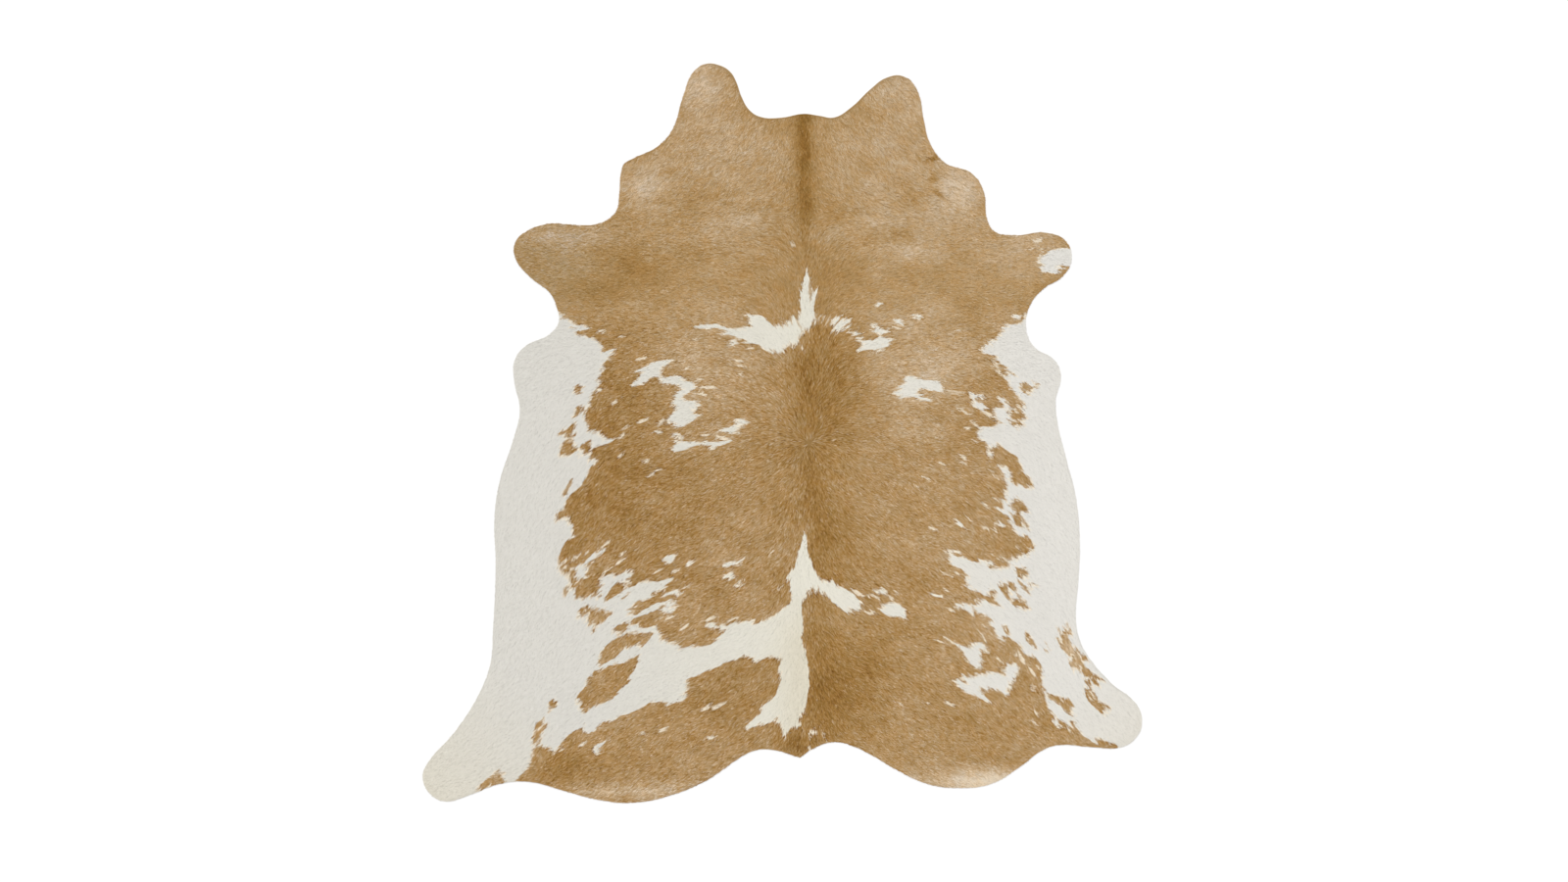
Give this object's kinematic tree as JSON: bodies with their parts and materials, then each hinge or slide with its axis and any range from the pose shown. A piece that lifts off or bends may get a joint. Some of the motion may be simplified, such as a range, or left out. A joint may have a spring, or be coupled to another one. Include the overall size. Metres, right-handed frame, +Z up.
{
  "type": "cowhide rug",
  "caption": "Flat hair-on cowhide rug in the hide's whole natural outline, with neck, legs, flanks and rump, its coat tan with white markings.",
  "frame": {"origin": "on the floor, at the middle of the hide's outline box", "axes": "+Y towards the neck along the spine, +Z up out of the hair side, +X to the right seen from above with the neck away"},
  "size_m": [2.2032, 2.2656, 0.0064],
  "materials": {
    "coat": "short sleek hair, tan with white markings",
    "suede": "matt suede on the flesh side and the cut edge"
  },
  "bodies": {
    "root": {"hide": "coat"}
  },
  "joints": []
}
